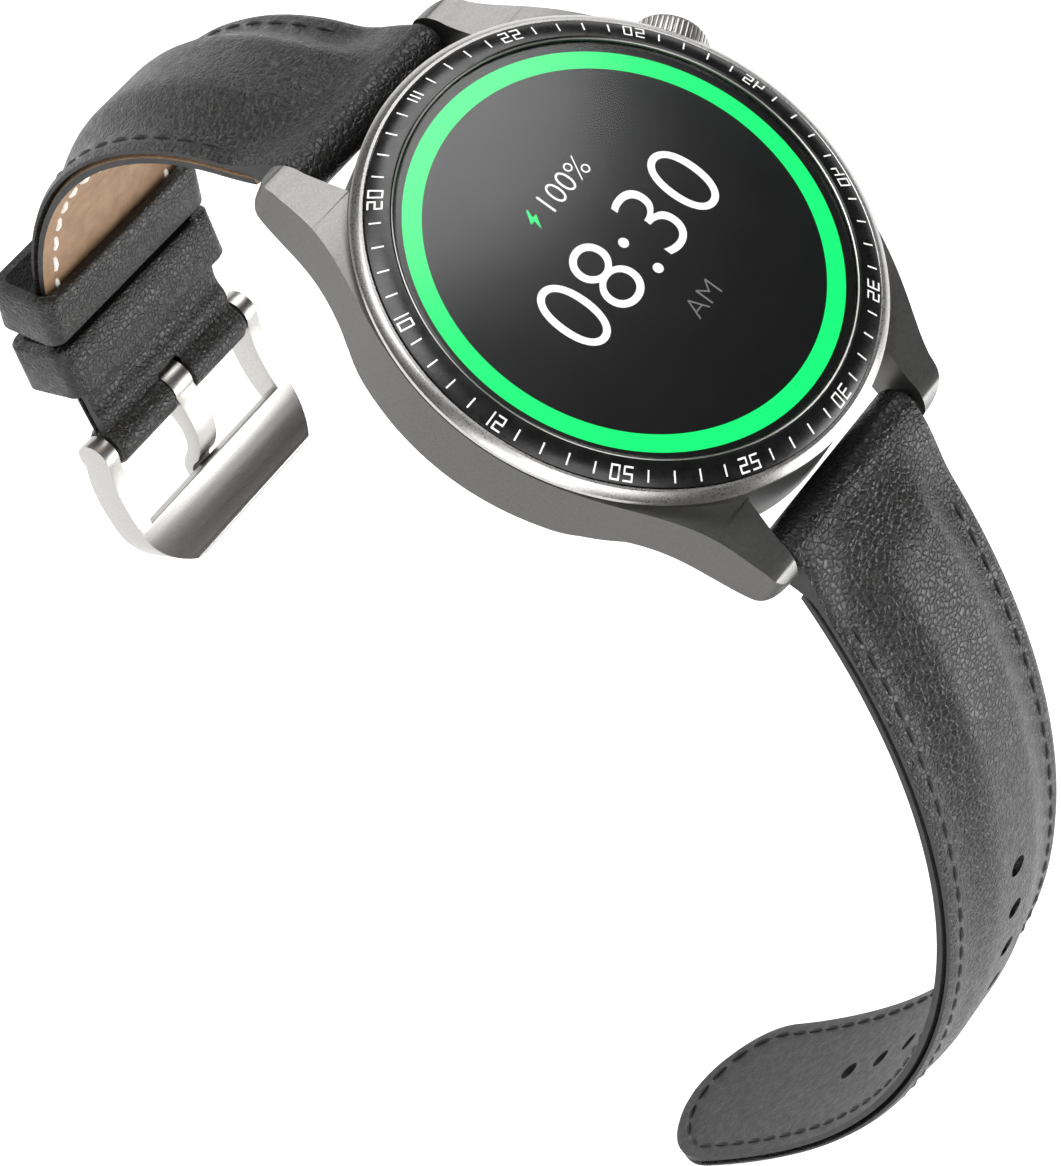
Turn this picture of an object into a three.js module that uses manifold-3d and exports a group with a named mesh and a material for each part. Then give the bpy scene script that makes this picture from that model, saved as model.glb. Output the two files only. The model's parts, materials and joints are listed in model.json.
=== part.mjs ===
// A round smartwatch on a two-piece leather strap, in millimetres.
// Origin: middle of the flat sensor window on the back. +Z out of the display, +Y to 12 o'clock,
// +X to 3 o'clock. The strap hangs open below the case, as when the watch is off the wrist.
import * as THREE from 'three';
import { mergeVertices } from 'three/addons/utils/BufferGeometryUtils.js';
import Module from 'manifold-3d';

const wasm = await Module();
wasm.setup();

// ---------- driving dimensions ----------
const GAP = 0.3;                    // clearance between neighbouring pieces
const CASE_RADIUS = 24.4;           // round middle of the case
const CASE_TOP = 9.4;               // shoulder that the bezel sits on
const CASE_WAIST = 2.6;             // lower edge of the case side
const CASE_BOTTOM = 1.1;            // underside of the case
const CAVITY_RADIUS = 22;
const LUG_GAP = 22;                 // strap width between the lugs
const LUG_TIP = { x: 14.4, y: 27.2 };   // where the lug's outer side starts to round its end
const LUG_END_Y = 29.1;
const SHOULDER_TOP = 9.4;           // height of the lug shoulder beside the bezel
const BAR_Y = 27;                   // spring bars
const BAR_Z = 2.8;
const BEZEL_RADIUS = 24.6;
const SIDES = 48;                   // facets round a full turn of the case parts
const CROWN_ANGLE = THREE.MathUtils.degToRad(22);
const CROWN_Z = 5.6;
const CROWN_RADIUS = 3.7;
const CROWN_FLUTES = 24;
const STRAP_WIDTH = 21;
const TAIL_WIDTH = 20.6;
const ROLL_RADIUS = 2.3;            // leather rolled round a bar
const BAR_HOLE_RADIUS = 1.2;
const LINING_THICKNESS = 1.0;
const SEAM = 0.1;                   // slit between the two leathers of a strap

// A strap is a chain of arcs in the YZ plane, each with its length and its turn in degrees.
const BUCKLE_STRAP = {
  side: 1,
  heading: -44,
  arcs: [[9, 11.9], [51.9, -96.5], [11.3, -7.6]],
};
const TAIL_STRAP = {
  side: -1,
  heading: 207.2,
  arcs: [[103.5, 78.6], [27, 13.4]],
};
const LINING_END = 53;              // where the folded-back flap takes over from the lining
const FREE_KEEPER_AT = 54;          // distances along the buckle strap to each keeper's middle
const FIXED_KEEPER_AT = 61.2;
const KEEPER_LENGTH = 5.8;
const HOLE_COUNT = 9;
const FIRST_HOLE_AT = 48;
const HOLE_PITCH = 6.75;
const HOLE_RADIUS = 1.15;

const BUCKLE_HEADING = 222;         // direction of the buckle frame in the YZ plane, in degrees
const BUCKLE_HALF_WIDTH = 12.6;
const ARM_THICKNESS = 1.7;
const BUCKLE_BAR_RADIUS = 0.85;

// ---------- finishes ----------
const FINISHES = {
  titanium: [0x8b8a88, 0.38, 1],
  darkMetal: [0x55544f, 0.3, 1],
  steel: [0xa5a4a0, 0.25, 1],
  blackCeramic: [0x0b0b0c, 0.2, 0.1],
  glass: [0x101214, 0.05, 0],
  display: [0x050606, 0.3, 0],
  plastic: [0x1b1c1e, 0.55, 0],
  board: [0x14452c, 0.5, 0.1],
  rubber: [0x121212, 0.8, 0],
  gold: [0xc9a24a, 0.3, 1],
  blackLeather: [0x1a1918, 0.6, 0],
  tanLeather: [0x9a7a5a, 0.7, 0],
};

function material(finish) {
  const [color, roughness, metalness] = FINISHES[finish];
  return new THREE.MeshStandardMaterial({ color, roughness, metalness });
}

function named(name, finish, geometry) {
  const mesh = new THREE.Mesh(geometry, material(finish));
  mesh.name = name;
  return mesh;
}

// ---------- solids ----------
function solid(geometry) {
  const bare = geometry.clone();
  bare.deleteAttribute('normal');
  bare.deleteAttribute('uv');
  const merged = mergeVertices(bare, 1e-4);
  return new wasm.Manifold(new wasm.Mesh({
    numProp: 3,
    vertProperties: new Float32Array(merged.attributes.position.array),
    triVerts: new Uint32Array(merged.index.array),
  }));
}

function geometryOf(body) {
  const mesh = body.getMesh();
  const geometry = new THREE.BufferGeometry();
  const stride = mesh.numProp;
  const count = mesh.vertProperties.length / stride;
  const position = new Float32Array(count * 3);
  for (let i = 0; i < count; i += 1) {
    position.set(mesh.vertProperties.subarray(i * stride, i * stride + 3), i * 3);
  }
  geometry.setAttribute('position', new THREE.BufferAttribute(position, 3));
  geometry.setIndex(new THREE.BufferAttribute(new Uint32Array(mesh.triVerts), 1));
  geometry.computeVertexNormals();
  return geometry;
}

// A turned piece: profile points are [radius, height], turned about Z.
function turned(profile, sides = SIDES) {
  const closed = profile[0][0] === 0 ? profile : [...profile, profile[0]];
  const points = closed.map(([r, z]) => new THREE.Vector2(r, z));
  const geometry = new THREE.LatheGeometry(points, sides);
  geometry.rotateX(Math.PI / 2);
  return geometry;
}

// A disc, or a ring when it has an inner radius, between two heights.
function disc(radius, low, high, inner = 0, sides = SIDES) {
  const outline = inner === 0
    ? [[0, low], [radius, low], [radius, high], [0, high]]
    : [[inner, low], [radius, low], [radius, high], [inner, high]];
  return turned(outline, sides);
}

// A box from its low corner to its high corner.
function block(low, high) {
  const size = high.map((value, i) => value - low[i]);
  const geometry = new THREE.BoxGeometry(...size);
  geometry.translate(...low.map((value, i) => value + size[i] / 2));
  return geometry;
}

// A round rod along X from one end to the other, at (y, z).
function rodAlongX(radius, from, to, y, z, sides = 24) {
  const geometry = new THREE.CylinderGeometry(radius, radius, to - from, sides);
  geometry.rotateZ(Math.PI / 2);
  geometry.translate((from + to) / 2, y, z);
  return geometry;
}

// A shape drawn in (y, z), made into a slab that spans the given x range.
const ACROSS = new THREE.Matrix4().makeBasis(
  new THREE.Vector3(0, 1, 0),
  new THREE.Vector3(0, 0, 1),
  new THREE.Vector3(1, 0, 0),
);
function slabAcross(shape, from, to) {
  const geometry = new THREE.ExtrudeGeometry(shape, { depth: to - from, bevelEnabled: false });
  geometry.translate(0, 0, from);
  geometry.applyMatrix4(ACROSS);
  return geometry;
}

function shapeThrough(points) {
  return new THREE.Shape(points.map(([a, b]) => new THREE.Vector2(a, b)));
}

function bezier(count, ...corners) {
  const curve = new THREE.CubicBezierCurve(...corners.map(([a, b]) => new THREE.Vector2(a, b)));
  return curve.getPoints(count).map((p) => [p.x, p.y]);
}

// ---------- case ----------
// Plan outline of the case with its four lugs: a quarter, mirrored round.
function planOutline() {
  const flareStart = THREE.MathUtils.degToRad(9);
  const quarter = [];
  for (let i = 0; i <= 2; i += 1) {
    const angle = (flareStart * i) / 2;
    quarter.push([CASE_RADIUS * Math.cos(angle), CASE_RADIUS * Math.sin(angle)]);
  }
  const start = quarter.pop();
  const flare = bezier(8, start, [22.8, 12.8], [16, 20.2], [LUG_TIP.x, LUG_TIP.y]);
  const corner = bezier(3, [LUG_TIP.x, LUG_TIP.y], [14.2, 28.5], [13, LUG_END_Y], [LUG_GAP / 2, LUG_END_Y]);
  quarter.push(...flare, ...corner.slice(1));
  const half = [...quarter, ...quarter.map(([x, y]) => [-x, y]).reverse()];
  const below = half.slice(1, -1).map(([x, y]) => [x, -y]).reverse();
  return shapeThrough([...half, ...below]);
}

// Side outline of case and lugs in (y, z): a rounded horn at each end.
function sideOutline() {
  const horn = [
    ...bezier(6, [14.5, SHOULDER_TOP], [21, SHOULDER_TOP], [22.6, 7.4], [26.2, 5.9]),
    ...bezier(5, [26.2, 5.9], [28, 5.6], [29.2, 4.2], [29.2, 2.7]).slice(1),
    ...bezier(5, [29.2, 2.7], [29, 1.2], [27.4, 0.9], [26, 1.1]).slice(1),
    ...bezier(6, [26, 1.1], [22.4, 1.7], [20, 4.3], [15.8, 4.1]).slice(1),
    ...bezier(4, [15.8, 4.1], [13.4, 4], [12.6, CASE_WAIST], [10, CASE_WAIST]).slice(1),
  ];
  return shapeThrough([...horn, ...horn.map(([y, z]) => [-y, z]).reverse()]);
}

function midCase() {
  const plan = new THREE.ExtrudeGeometry(planOutline(), { depth: 12, bevelEnabled: false });
  const side = slabAcross(sideOutline(), -30, 30);
  const core = disc(CASE_RADIUS, 0, 12);
  let lugs = solid(plan).intersect(solid(side));
  for (const end of [-1, 1]) {
    const slot = block([-LUG_GAP / 2, end > 0 ? 0 : -32, -1], [LUG_GAP / 2, end > 0 ? 32 : 0, 13]);
    lugs = lugs.subtract(solid(slot).subtract(solid(core)));
  }
  const ring = turned([
    [CAVITY_RADIUS, CASE_BOTTOM],
    [CASE_RADIUS - 1.5, CASE_BOTTOM],
    [CASE_RADIUS, CASE_WAIST],
    [CASE_RADIUS, CASE_TOP],
    [CAVITY_RADIUS, CASE_TOP],
  ]);
  const flange = disc(CAVITY_RADIUS + 0.5, 2.9, 3.8, 16.6);
  let body = lugs.add(solid(ring));
  body = body.subtract(solid(disc(CAVITY_RADIUS, 0, 12)));
  body = body.add(solid(flange));
  for (const end of [-1, 1]) {
    const holes = rodAlongX(0.85, -12.7, 12.7, end * BAR_Y, BAR_Z, 12);
    body = body.subtract(solid(holes));
  }
  for (const [x, y] of screwPlaces()) {
    body = body.subtract(solid(placedDisc(0.95, 2.5, 4.2, x, y)));
  }
  const recess = crownPiece([[0, 24], [4.1, 24], [4.1, 28], [0, 28]], 24);
  body = body.subtract(solid(crownBore())).subtract(solid(recess));
  return geometryOf(body);
}

function crownBore() {
  return crownPiece([[0, 19], [1.75, 19], [1.75, 24.3], [0, 24.3]], 16);
}

// A tray that carries the display, with a skirt round the battery and a notch for the crown.
function innerFrame() {
  const tray = turned([
    [0, 8.6], [20.6, 8.6], [20.6, 4.2], [21.4, 4.2], [21.4, 9.3], [0, 9.3],
  ]);
  return geometryOf(solid(tray).subtract(solid(crownBore())));
}

function placedDisc(radius, low, high, x, y, sides = 12) {
  const geometry = disc(radius, low, high, 0, sides);
  geometry.translate(x, y, 0);
  return geometry;
}

function screwPlaces() {
  const places = [];
  for (let i = 0; i < 4; i += 1) {
    const angle = Math.PI / 4 + (i * Math.PI) / 2;
    places.push([18.4 * Math.cos(angle), 18.4 * Math.sin(angle)]);
  }
  return places;
}

const PIN_PLACES = [[-2.2, -18.4], [2.2, -18.4]];

function rearCover() {
  let body = solid(disc(21.7, 0.9, 2, 14.8));
  for (const [x, y] of screwPlaces()) {
    body = body.subtract(solid(placedDisc(0.95, 0, 3, x, y)));
    body = body.subtract(solid(placedDisc(1.6, 0, 1.65, x, y)));
  }
  for (const [x, y] of PIN_PLACES) {
    body = body.subtract(solid(placedDisc(1.3, 0, 3, x, y)));
  }
  return geometryOf(body);
}

function rearScrew(x, y) {
  const profile = [[0, 1], [1.25, 1], [1.25, 1.35], [0.65, 1.35], [0.65, 3.7], [0, 3.7]];
  const slot = block([-1.5, -0.2, 0.5], [1.5, 0.2, 1.15]);
  const geometry = geometryOf(solid(turned(profile, 12)).subtract(solid(slot)));
  geometry.translate(x, y, 0);
  return geometry;
}

function caseParts() {
  const group = new THREE.Group();
  group.add(named('mid_case', 'titanium', midCase()));
  group.add(named('bezel_ring', 'titanium', turned([
    [21.6, 9.7], [24.3, 9.7], [BEZEL_RADIUS, 10], [BEZEL_RADIUS, 10.3],
    [23.85, 11], [23.55, 11], [23.55, 10.4], [21.6, 10.4],
  ])));
  group.add(named('bezel_insert', 'blackCeramic', turned([
    [21.25, 10.7], [23.25, 10.7], [23.25, 11.15], [21.45, 11.85], [21.25, 11.8],
  ])));
  group.add(named('cover_glass', 'glass', turned([
    [0, 10.7], [20.95, 10.7], [20.95, 11.5], [20.7, 11.65], [0, 11.65],
  ])));
  group.add(named('display_panel', 'display', disc(20.3, 9.65, 10.4)));
  group.add(named('inner_frame', 'plastic', innerFrame()));
  group.add(named('main_board', 'board', mainBoard()));
  group.add(named('battery', 'steel', placedDisc(13, 4.2, 6.9, -4, 0, 32)));
  group.add(named('vibration_motor', 'steel', placedDisc(4, 4.2, 6.9, 14.2, -6.2, 24)));
  group.add(named('speaker', 'plastic', block([-2.5, 14, 4.2], [6.5, 18, 6.9])));
  group.add(named('case_seal', 'rubber', disc(21.5, 2.3, 2.6, 19.9)));
  group.add(named('rear_cover', 'plastic', rearCover()));
  group.add(named('sensor_window', 'glass', turned([
    [0, 0], [11.5, 0], [14.5, 1], [14.5, 1.8], [0, 1.8],
  ])));
  group.add(named('sensor_board', 'board', disc(12, 2.3, 2.9)));
  PIN_PLACES.forEach(([x, y], i) => {
    group.add(named(`charging_pin_${i + 1}`, 'gold', placedDisc(1, 0.75, 2.55, x, y, 16)));
  });
  screwPlaces().forEach(([x, y], i) => {
    group.add(named(`rear_screw_${i + 1}`, 'steel', rearScrew(x, y)));
  });
  return group;
}

// Round board with one side cut straight beside the crown.
function mainBoard() {
  const cut = block([15.5, -25, 6], [25, 25, 10]);
  return geometryOf(solid(disc(19.8, 7.4, 8.2)).subtract(solid(cut)));
}

// ---------- crown ----------
// A piece turned about the crown's own axis: profile points are [radius, distance from the watch axis].
function crownPiece(profile, sides) {
  const geometry = turned(profile, sides);
  geometry.rotateY(Math.PI / 2);
  geometry.rotateZ(CROWN_ANGLE);
  geometry.translate(0, 0, CROWN_Z);
  return geometry;
}

function crownCap() {
  const outline = new THREE.Shape();
  for (let i = 0; i < CROWN_FLUTES; i += 1) {
    for (const [step, radius] of [[0, 1], [0.5, 1], [0.75, 0.95]]) {
      const angle = ((i + step) / CROWN_FLUTES) * 2 * Math.PI;
      const point = [CROWN_RADIUS * radius * Math.cos(angle), CROWN_RADIUS * radius * Math.sin(angle)];
      if (i === 0 && step === 0) {
        outline.moveTo(...point);
      } else {
        outline.lineTo(...point);
      }
    }
  }
  outline.closePath();
  const fluted = new THREE.ExtrudeGeometry(outline, { depth: 2.9, bevelEnabled: false });
  fluted.translate(0, 0, 24.8);
  const rounded = turned([
    [0, 24.8], [3.4, 24.8], [3.75, 25.1], [3.75, 27.3], [3.3, 27.7], [0, 27.7],
  ], 24);
  const geometry = geometryOf(solid(fluted).intersect(solid(rounded)));
  geometry.rotateY(Math.PI / 2);
  geometry.rotateZ(CROWN_ANGLE);
  geometry.translate(0, 0, CROWN_Z);
  return geometry;
}

function crownParts() {
  const group = new THREE.Group();
  group.add(named('crown_cap', 'darkMetal', crownCap()));
  const pieces = [
    ['crown_stem', 'steel', [[0, 19.3], [0.7, 19.3], [0.7, 24.5], [0, 24.5]], 12],
    ['crown_tube', 'steel', [[1.15, 20.4], [1.45, 20.4], [1.45, 23.8], [1.15, 23.8]], 16],
    ['crown_plunger', 'plastic', [[0, 18.2], [1.2, 18.2], [1.2, 19], [0, 19]], 12],
  ];
  for (const [name, finish, profile, sides] of pieces) {
    group.add(named(name, finish, crownPiece(profile, sides)));
  }
  const housing = block([15.6, -1.7, -1.3], [17.4, 1.7, 1.5]);
  housing.rotateZ(CROWN_ANGLE);
  housing.translate(0, 0, CROWN_Z);
  group.add(named('crown_switch', 'plastic', housing));
  return group;
}

// ---------- straps ----------
// Points and headings along a strap's middle line, in (y, z), starting at its spring bar.
function strapLine(strap, step = 5) {
  const stations = [];
  let heading = THREE.MathUtils.degToRad(strap.heading);
  let y = strap.side * BAR_Y;
  let z = BAR_Z;
  let along = 0;
  stations.push({ y, z, heading, along });
  for (const [length, turn] of strap.arcs) {
    const count = Math.max(3, Math.round(length / step));
    const bend = THREE.MathUtils.degToRad(turn) / count;
    for (let i = 0; i < count; i += 1) {
      const chord = (length / count) * (Math.sin(bend / 2) / (bend / 2));
      y += chord * Math.cos(heading + bend / 2);
      z += chord * Math.sin(heading + bend / 2);
      heading += bend;
      along += length / count;
      stations.push({ y, z, heading, along });
    }
  }
  return stations;
}

// The middle line's point and heading at a distance along it.
function strapPoint(strap, distance) {
  let heading = THREE.MathUtils.degToRad(strap.heading);
  let y = strap.side * BAR_Y;
  let z = BAR_Z;
  let left = distance;
  for (const [length, turn] of strap.arcs) {
    const part = Math.min(left, length);
    const bend = (THREE.MathUtils.degToRad(turn) * part) / length;
    if (part > 0) {
      const chord = part * (Math.sin(bend / 2) / (bend / 2));
      y += chord * Math.cos(heading + bend / 2);
      z += chord * Math.sin(heading + bend / 2);
      heading += bend;
      left -= part;
    }
  }
  return { y, z, heading };
}

// A point at a height above the strap's middle line, on its outer side when positive.
function offset(strap, station, height) {
  return [
    station.y - strap.side * height * Math.sin(station.heading),
    station.z + strap.side * height * Math.cos(station.heading),
  ];
}

// A leather band between two distances along a strap and two heights above its middle line.
function band(strap, from, to, low, high, width) {
  const inside = strapLine(strap).filter((s) => s.along > from + 0.5 && s.along < to - 0.5);
  const ends = [from, to].map((at) => ({ ...strapPoint(strap, at), along: at }));
  const stations = [ends[0], ...inside, ends[1]];
  const top = stations.map((s) => offset(strap, s, high(s.along)));
  const bottom = stations.map((s) => offset(strap, s, low(s.along))).reverse();
  return solid(slabAcross(shapeThrough([...top, ...bottom]), -width / 2, width / 2));
}

// A cutter placed on a strap: local x across, local y along, local z out of the strap.
function onStrap(strap, distance, geometry) {
  const place = strapPoint(strap, distance);
  const along = new THREE.Vector3(0, Math.cos(place.heading), Math.sin(place.heading));
  const out = new THREE.Vector3(0, -Math.sin(place.heading), Math.cos(place.heading));
  out.multiplyScalar(strap.side);
  const across = new THREE.Vector3().crossVectors(along, out);
  const matrix = new THREE.Matrix4().makeBasis(across, along, out);
  matrix.setPosition(0, place.y, place.z);
  geometry.applyMatrix4(matrix);
  return geometry;
}

function roll(y, z, width) {
  return solid(rodAlongX(ROLL_RADIUS, -width / 2, width / 2, y, z, 28));
}

function barHole(y, z) {
  return solid(rodAlongX(BAR_HOLE_RADIUS, -15, 15, y, z, 20));
}

function buckleBarPlace() {
  const total = BUCKLE_STRAP.arcs.reduce((sum, [length]) => sum + length, 0);
  return { ...strapPoint(BUCKLE_STRAP, total), total };
}

function buckleStrapOuter() {
  const bar = buckleBarPlace();
  const thickness = (s) => 1.75 - 0.006 * s;
  const upper = band(BUCKLE_STRAP, 0, bar.total, () => SEAM / 2, thickness, STRAP_WIDTH);
  const flap = band(BUCKLE_STRAP, LINING_END, bar.total, () => -1.2, () => SEAM, STRAP_WIDTH);
  let body = upper.add(flap);
  body = body.add(roll(BAR_Y, BAR_Z, STRAP_WIDTH)).add(roll(bar.y, bar.z, STRAP_WIDTH));
  body = body.subtract(barHole(BAR_Y, BAR_Z)).subtract(barHole(bar.y, bar.z));
  body = body.subtract(solid(rodAlongX(3, -1.75, 1.75, bar.y, bar.z)));
  return geometryOf(body);
}

function buckleStrapLining() {
  const low = () => -SEAM / 2 - LINING_THICKNESS;
  const high = () => -SEAM / 2;
  return geometryOf(band(BUCKLE_STRAP, 3.4, LINING_END - GAP, low, high, STRAP_WIDTH));
}

function tailLength() {
  return TAIL_STRAP.arcs.reduce((sum, [length]) => sum + length, 0);
}

// The rounded tip: what the corners lose.
function tipCutter() {
  const half = TAIL_WIDTH / 2;
  const round = 9.5;
  const keep = new THREE.Shape();
  keep.moveTo(half, -14);
  keep.lineTo(half, -round);
  keep.absellipse(0, -round, half, round, 0, Math.PI, false);
  keep.lineTo(-half, -14);
  keep.closePath();
  const kept = new THREE.ExtrudeGeometry(keep, { depth: 16, bevelEnabled: false, curveSegments: 14 });
  kept.translate(0, 0, -8);
  const whole = block([-half - 2, -round - 0.5, -7], [half + 2, 3, 7]);
  const cutter = solid(whole).subtract(solid(kept));
  return solid(onStrap(TAIL_STRAP, tailLength(), geometryOf(cutter)));
}

function strapHoles() {
  const holes = [];
  for (let i = 0; i < HOLE_COUNT; i += 1) {
    const hole = disc(HOLE_RADIUS, -4, 4, 0, 10);
    holes.push(solid(onStrap(TAIL_STRAP, FIRST_HOLE_AT + i * HOLE_PITCH, hole)));
  }
  return holes;
}

function punched(body) {
  return strapHoles().reduce((rest, hole) => rest.subtract(hole), body.subtract(tipCutter()));
}

function tailStrapOuter() {
  const thickness = (s) => 1.75 - 0.0065 * s;
  let body = band(TAIL_STRAP, 0, tailLength(), () => SEAM / 2, thickness, TAIL_WIDTH);
  body = body.add(roll(-BAR_Y, BAR_Z, TAIL_WIDTH)).subtract(barHole(-BAR_Y, BAR_Z));
  return geometryOf(punched(body));
}

function tailStrapLining() {
  const low = (s) => -SEAM / 2 - LINING_THICKNESS + 0.002 * s;
  const high = () => -SEAM / 2;
  return geometryOf(punched(band(TAIL_STRAP, 3.4, tailLength(), low, high, TAIL_WIDTH)));
}

// A leather loop round the buckle strap, with room above it for the tail.
function keeper(at) {
  const outline = new THREE.Shape();
  const opening = new THREE.Path();
  roundedBox(outline, -12.35, 12.35, -2.75, 5.05, 1.6);
  roundedBox(opening, -11.2, 11.2, -1.65, 3.95, 0.9);
  outline.holes.push(opening);
  const loop = new THREE.ExtrudeGeometry(outline, {
    depth: KEEPER_LENGTH, bevelEnabled: false, curveSegments: 3,
  });
  loop.translate(0, 0, -KEEPER_LENGTH / 2);
  loop.applyMatrix4(new THREE.Matrix4().makeBasis(
    new THREE.Vector3(1, 0, 0),
    new THREE.Vector3(0, 0, 1),
    new THREE.Vector3(0, -1, 0),
  ));
  return onStrap(BUCKLE_STRAP, at, loop);
}

function roundedBox(path, left, right, low, high, radius) {
  path.moveTo(left + radius, low);
  path.lineTo(right - radius, low);
  path.absarc(right - radius, low + radius, radius, -Math.PI / 2, 0, false);
  path.lineTo(right, high - radius);
  path.absarc(right - radius, high - radius, radius, 0, Math.PI / 2, false);
  path.lineTo(left + radius, high);
  path.absarc(left + radius, high - radius, radius, Math.PI / 2, Math.PI, false);
  path.lineTo(left, low + radius);
  path.absarc(left + radius, low + radius, radius, Math.PI, 1.5 * Math.PI, false);
  path.closePath();
}

// A hollow bar with a pin sliding in each end.
function springBar(name, y) {
  const group = new THREE.Group();
  const tube = solid(rodAlongX(0.9, -9.6, 9.6, y, BAR_Z, 16));
  const bore = solid(rodAlongX(0.65, -10, 10, y, BAR_Z, 12));
  group.add(named(`${name}_spring_bar`, 'steel', geometryOf(tube.subtract(bore))));
  for (const [end, from] of [['left', -12.4], ['right', 7.6]]) {
    const pin = rodAlongX(0.35, from, from + 4.8, y, BAR_Z, 12);
    group.add(named(`${name}_spring_bar_${end}_pin`, 'steel', pin));
  }
  return group;
}

// ---------- buckle ----------
// The buckle is drawn round its bar: the first number runs along the frame, the second out of it.
function buckleSlab(points, from, to) {
  const bar = buckleBarPlace();
  const heading = THREE.MathUtils.degToRad(BUCKLE_HEADING);
  const placed = points.map(([along, out]) => [
    bar.y + along * Math.cos(heading) - out * Math.sin(heading),
    bar.z + along * Math.sin(heading) + out * Math.cos(heading),
  ]);
  return solid(slabAcross(shapeThrough(placed), from, to));
}

function arcPoints(radius, fromDegrees, toDegrees, count) {
  const points = [];
  for (let i = 0; i <= count; i += 1) {
    const angle = THREE.MathUtils.degToRad(fromDegrees + ((toDegrees - fromDegrees) * i) / count);
    points.push([radius * Math.cos(angle), radius * Math.sin(angle)]);
  }
  return points;
}

// The frame seen from outside: two arms joined by a plate with rounded corners.
function bucklePlan() {
  const half = BUCKLE_HALF_WIDTH;
  const plan = new THREE.Shape();
  plan.moveTo(-half, -4);
  plan.lineTo(half, -4);
  plan.lineTo(half, 11);
  plan.absellipse(half - 4.6, 11, 4.6, 4.8, 0, Math.PI / 2, false);
  plan.absellipse(-half + 4.6, 11, 4.6, 4.8, Math.PI / 2, Math.PI, false);
  plan.closePath();
  const geometry = new THREE.ExtrudeGeometry(plan, { depth: 16, bevelEnabled: false, curveSegments: 5 });
  const heading = THREE.MathUtils.degToRad(BUCKLE_HEADING);
  const along = new THREE.Vector3(0, Math.cos(heading), Math.sin(heading));
  const out = new THREE.Vector3(0, -Math.sin(heading), Math.cos(heading));
  const matrix = new THREE.Matrix4().makeBasis(new THREE.Vector3(1, 0, 0), along, out);
  const bar = buckleBarPlace();
  matrix.setPosition(0, bar.y - 8 * out.y, bar.z - 8 * out.z);
  geometry.applyMatrix4(matrix);
  return solid(geometry);
}

function buckleFrame() {
  const half = BUCKLE_HALF_WIDTH;
  const inner = half - ARM_THICKNESS;
  const side = [
    ...arcPoints(1.95, 65, 295, 12),
    ...bezier(4, [0.82, -1.77], [3.5, -0.5], [7, -0.4], [9.8, -0.7]).slice(1),
    ...bezier(4, [9.8, -0.7], [12, -0.9], [13.8, -1.8], [15, -2.9]).slice(1),
    ...bezier(5, [15.6, -2.5], [16.1, -0.8], [14.9, 1.5], [12.3, 2.3]),
    ...bezier(6, [12.3, 2.3], [8.4, 3.9], [3.6, 3.3], [0.82, 1.77]).slice(1, -1),
  ];
  const opening = [[-6, -7], [9.6, -7], [9.6, 0.3], [11.6, 3.6], [11.6, 7], [-6, 7]];
  const tongueSeat = [[9.2, 0.1], [10.3, 1.7], [11.2, 1.95], [13.7, 1.15], [15, 7], [9.2, 7]];
  const bar = buckleBarPlace();
  let body = buckleSlab(side, -half, half).intersect(bucklePlan());
  body = body.subtract(buckleSlab(opening, -inner, inner));
  body = body.subtract(buckleSlab(tongueSeat, -1.9, 1.9));
  body = body.subtract(solid(rodAlongX(1.15, -14, 14, bar.y, bar.z, 20)));
  return geometryOf(body);
}

function buckleTongue() {
  const bar = buckleBarPlace();
  const side = [
    ...bezier(5, [0.8, -1.75], [4.5, -2.6], [7.6, -1.4], [9.4, 0.7]),
    ...bezier(4, [9.4, 0.7], [10, 1.9], [10.4, 2.4], [11.2, 2.35]).slice(1),
    [13, 1.85],
    [13.5, 2.3],
    [13.1, 3],
    ...bezier(4, [13.1, 3], [10.8, 4], [9.6, 3.2], [8.6, 2]).slice(1),
    ...bezier(5, [8.6, 2], [7, 0.2], [4.6, -0.4], [1.2, 1.5]).slice(1),
  ];
  const ring = solid(rodAlongX(2, -1.4, 1.4, bar.y, bar.z, 24));
  const body = buckleSlab(side, -1.4, 1.4).add(ring);
  return geometryOf(body.subtract(barHole(bar.y, bar.z)));
}

function strapParts() {
  const group = new THREE.Group();
  const bar = buckleBarPlace();
  group.add(named('buckle_strap_outer', 'blackLeather', buckleStrapOuter()));
  group.add(named('buckle_strap_lining', 'tanLeather', buckleStrapLining()));
  group.add(named('tail_strap_outer', 'blackLeather', tailStrapOuter()));
  group.add(named('tail_strap_lining', 'tanLeather', tailStrapLining()));
  group.add(named('fixed_keeper', 'blackLeather', keeper(FIXED_KEEPER_AT)));
  group.add(named('free_keeper', 'blackLeather', keeper(FREE_KEEPER_AT)));
  group.add(springBar('buckle_side', BAR_Y));
  group.add(springBar('tail_side', -BAR_Y));
  const length = BUCKLE_HALF_WIDTH - 0.3;
  const buckleBar = rodAlongX(BUCKLE_BAR_RADIUS, -length, length, bar.y, bar.z, 20);
  group.add(named('buckle_bar', 'steel', buckleBar));
  group.add(named('buckle_frame', 'darkMetal', buckleFrame()));
  group.add(named('buckle_tongue', 'darkMetal', buckleTongue()));
  return group;
}

const watch = new THREE.Group();
watch.add(caseParts());
watch.add(crownParts());
watch.add(strapParts());
export default watch;
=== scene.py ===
import json
import math

import bmesh
import bpy
from mathutils import Matrix, Vector


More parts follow.
